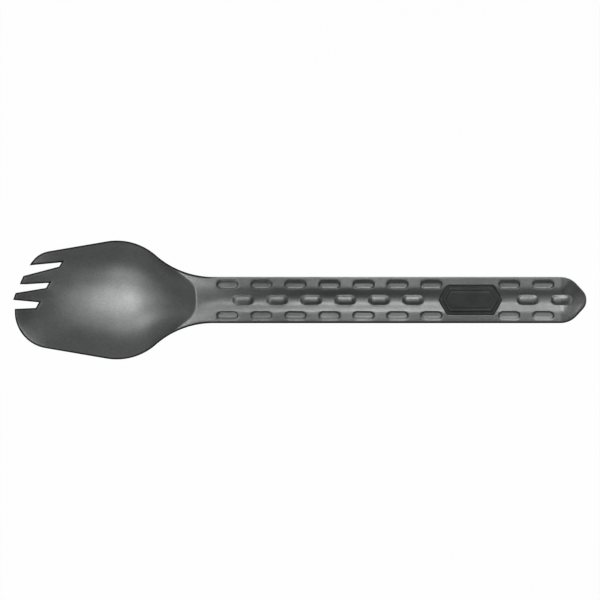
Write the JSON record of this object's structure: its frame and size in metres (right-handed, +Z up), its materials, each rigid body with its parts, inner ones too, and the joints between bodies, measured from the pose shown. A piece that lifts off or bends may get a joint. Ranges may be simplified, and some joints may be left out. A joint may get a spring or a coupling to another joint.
{
  "type": "spork",
  "caption": "Pressed metal camp spork: a deep bowl with slanted tines, a troughed handle with a dashed grip pattern, and a plain hexagonal badge inlay.",
  "frame": {"origin": "under the middle of the spork's length and width, on the surface that it rests on", "axes": "+X from the tines to the handle's end, +Y to the side of the short tine, +Z up, out of the bowl"},
  "size_m": [0.205, 0.0424, 0.0113],
  "materials": {
    "anodised_metal": "satin anodised",
    "badge": "matt",
    "adhesive": "matt film"
  },
  "bodies": {
    "root": {"spork_body": "anodised_metal", "badge_plate": "badge", "badge_adhesive": "adhesive"}
  },
  "joints": []
}
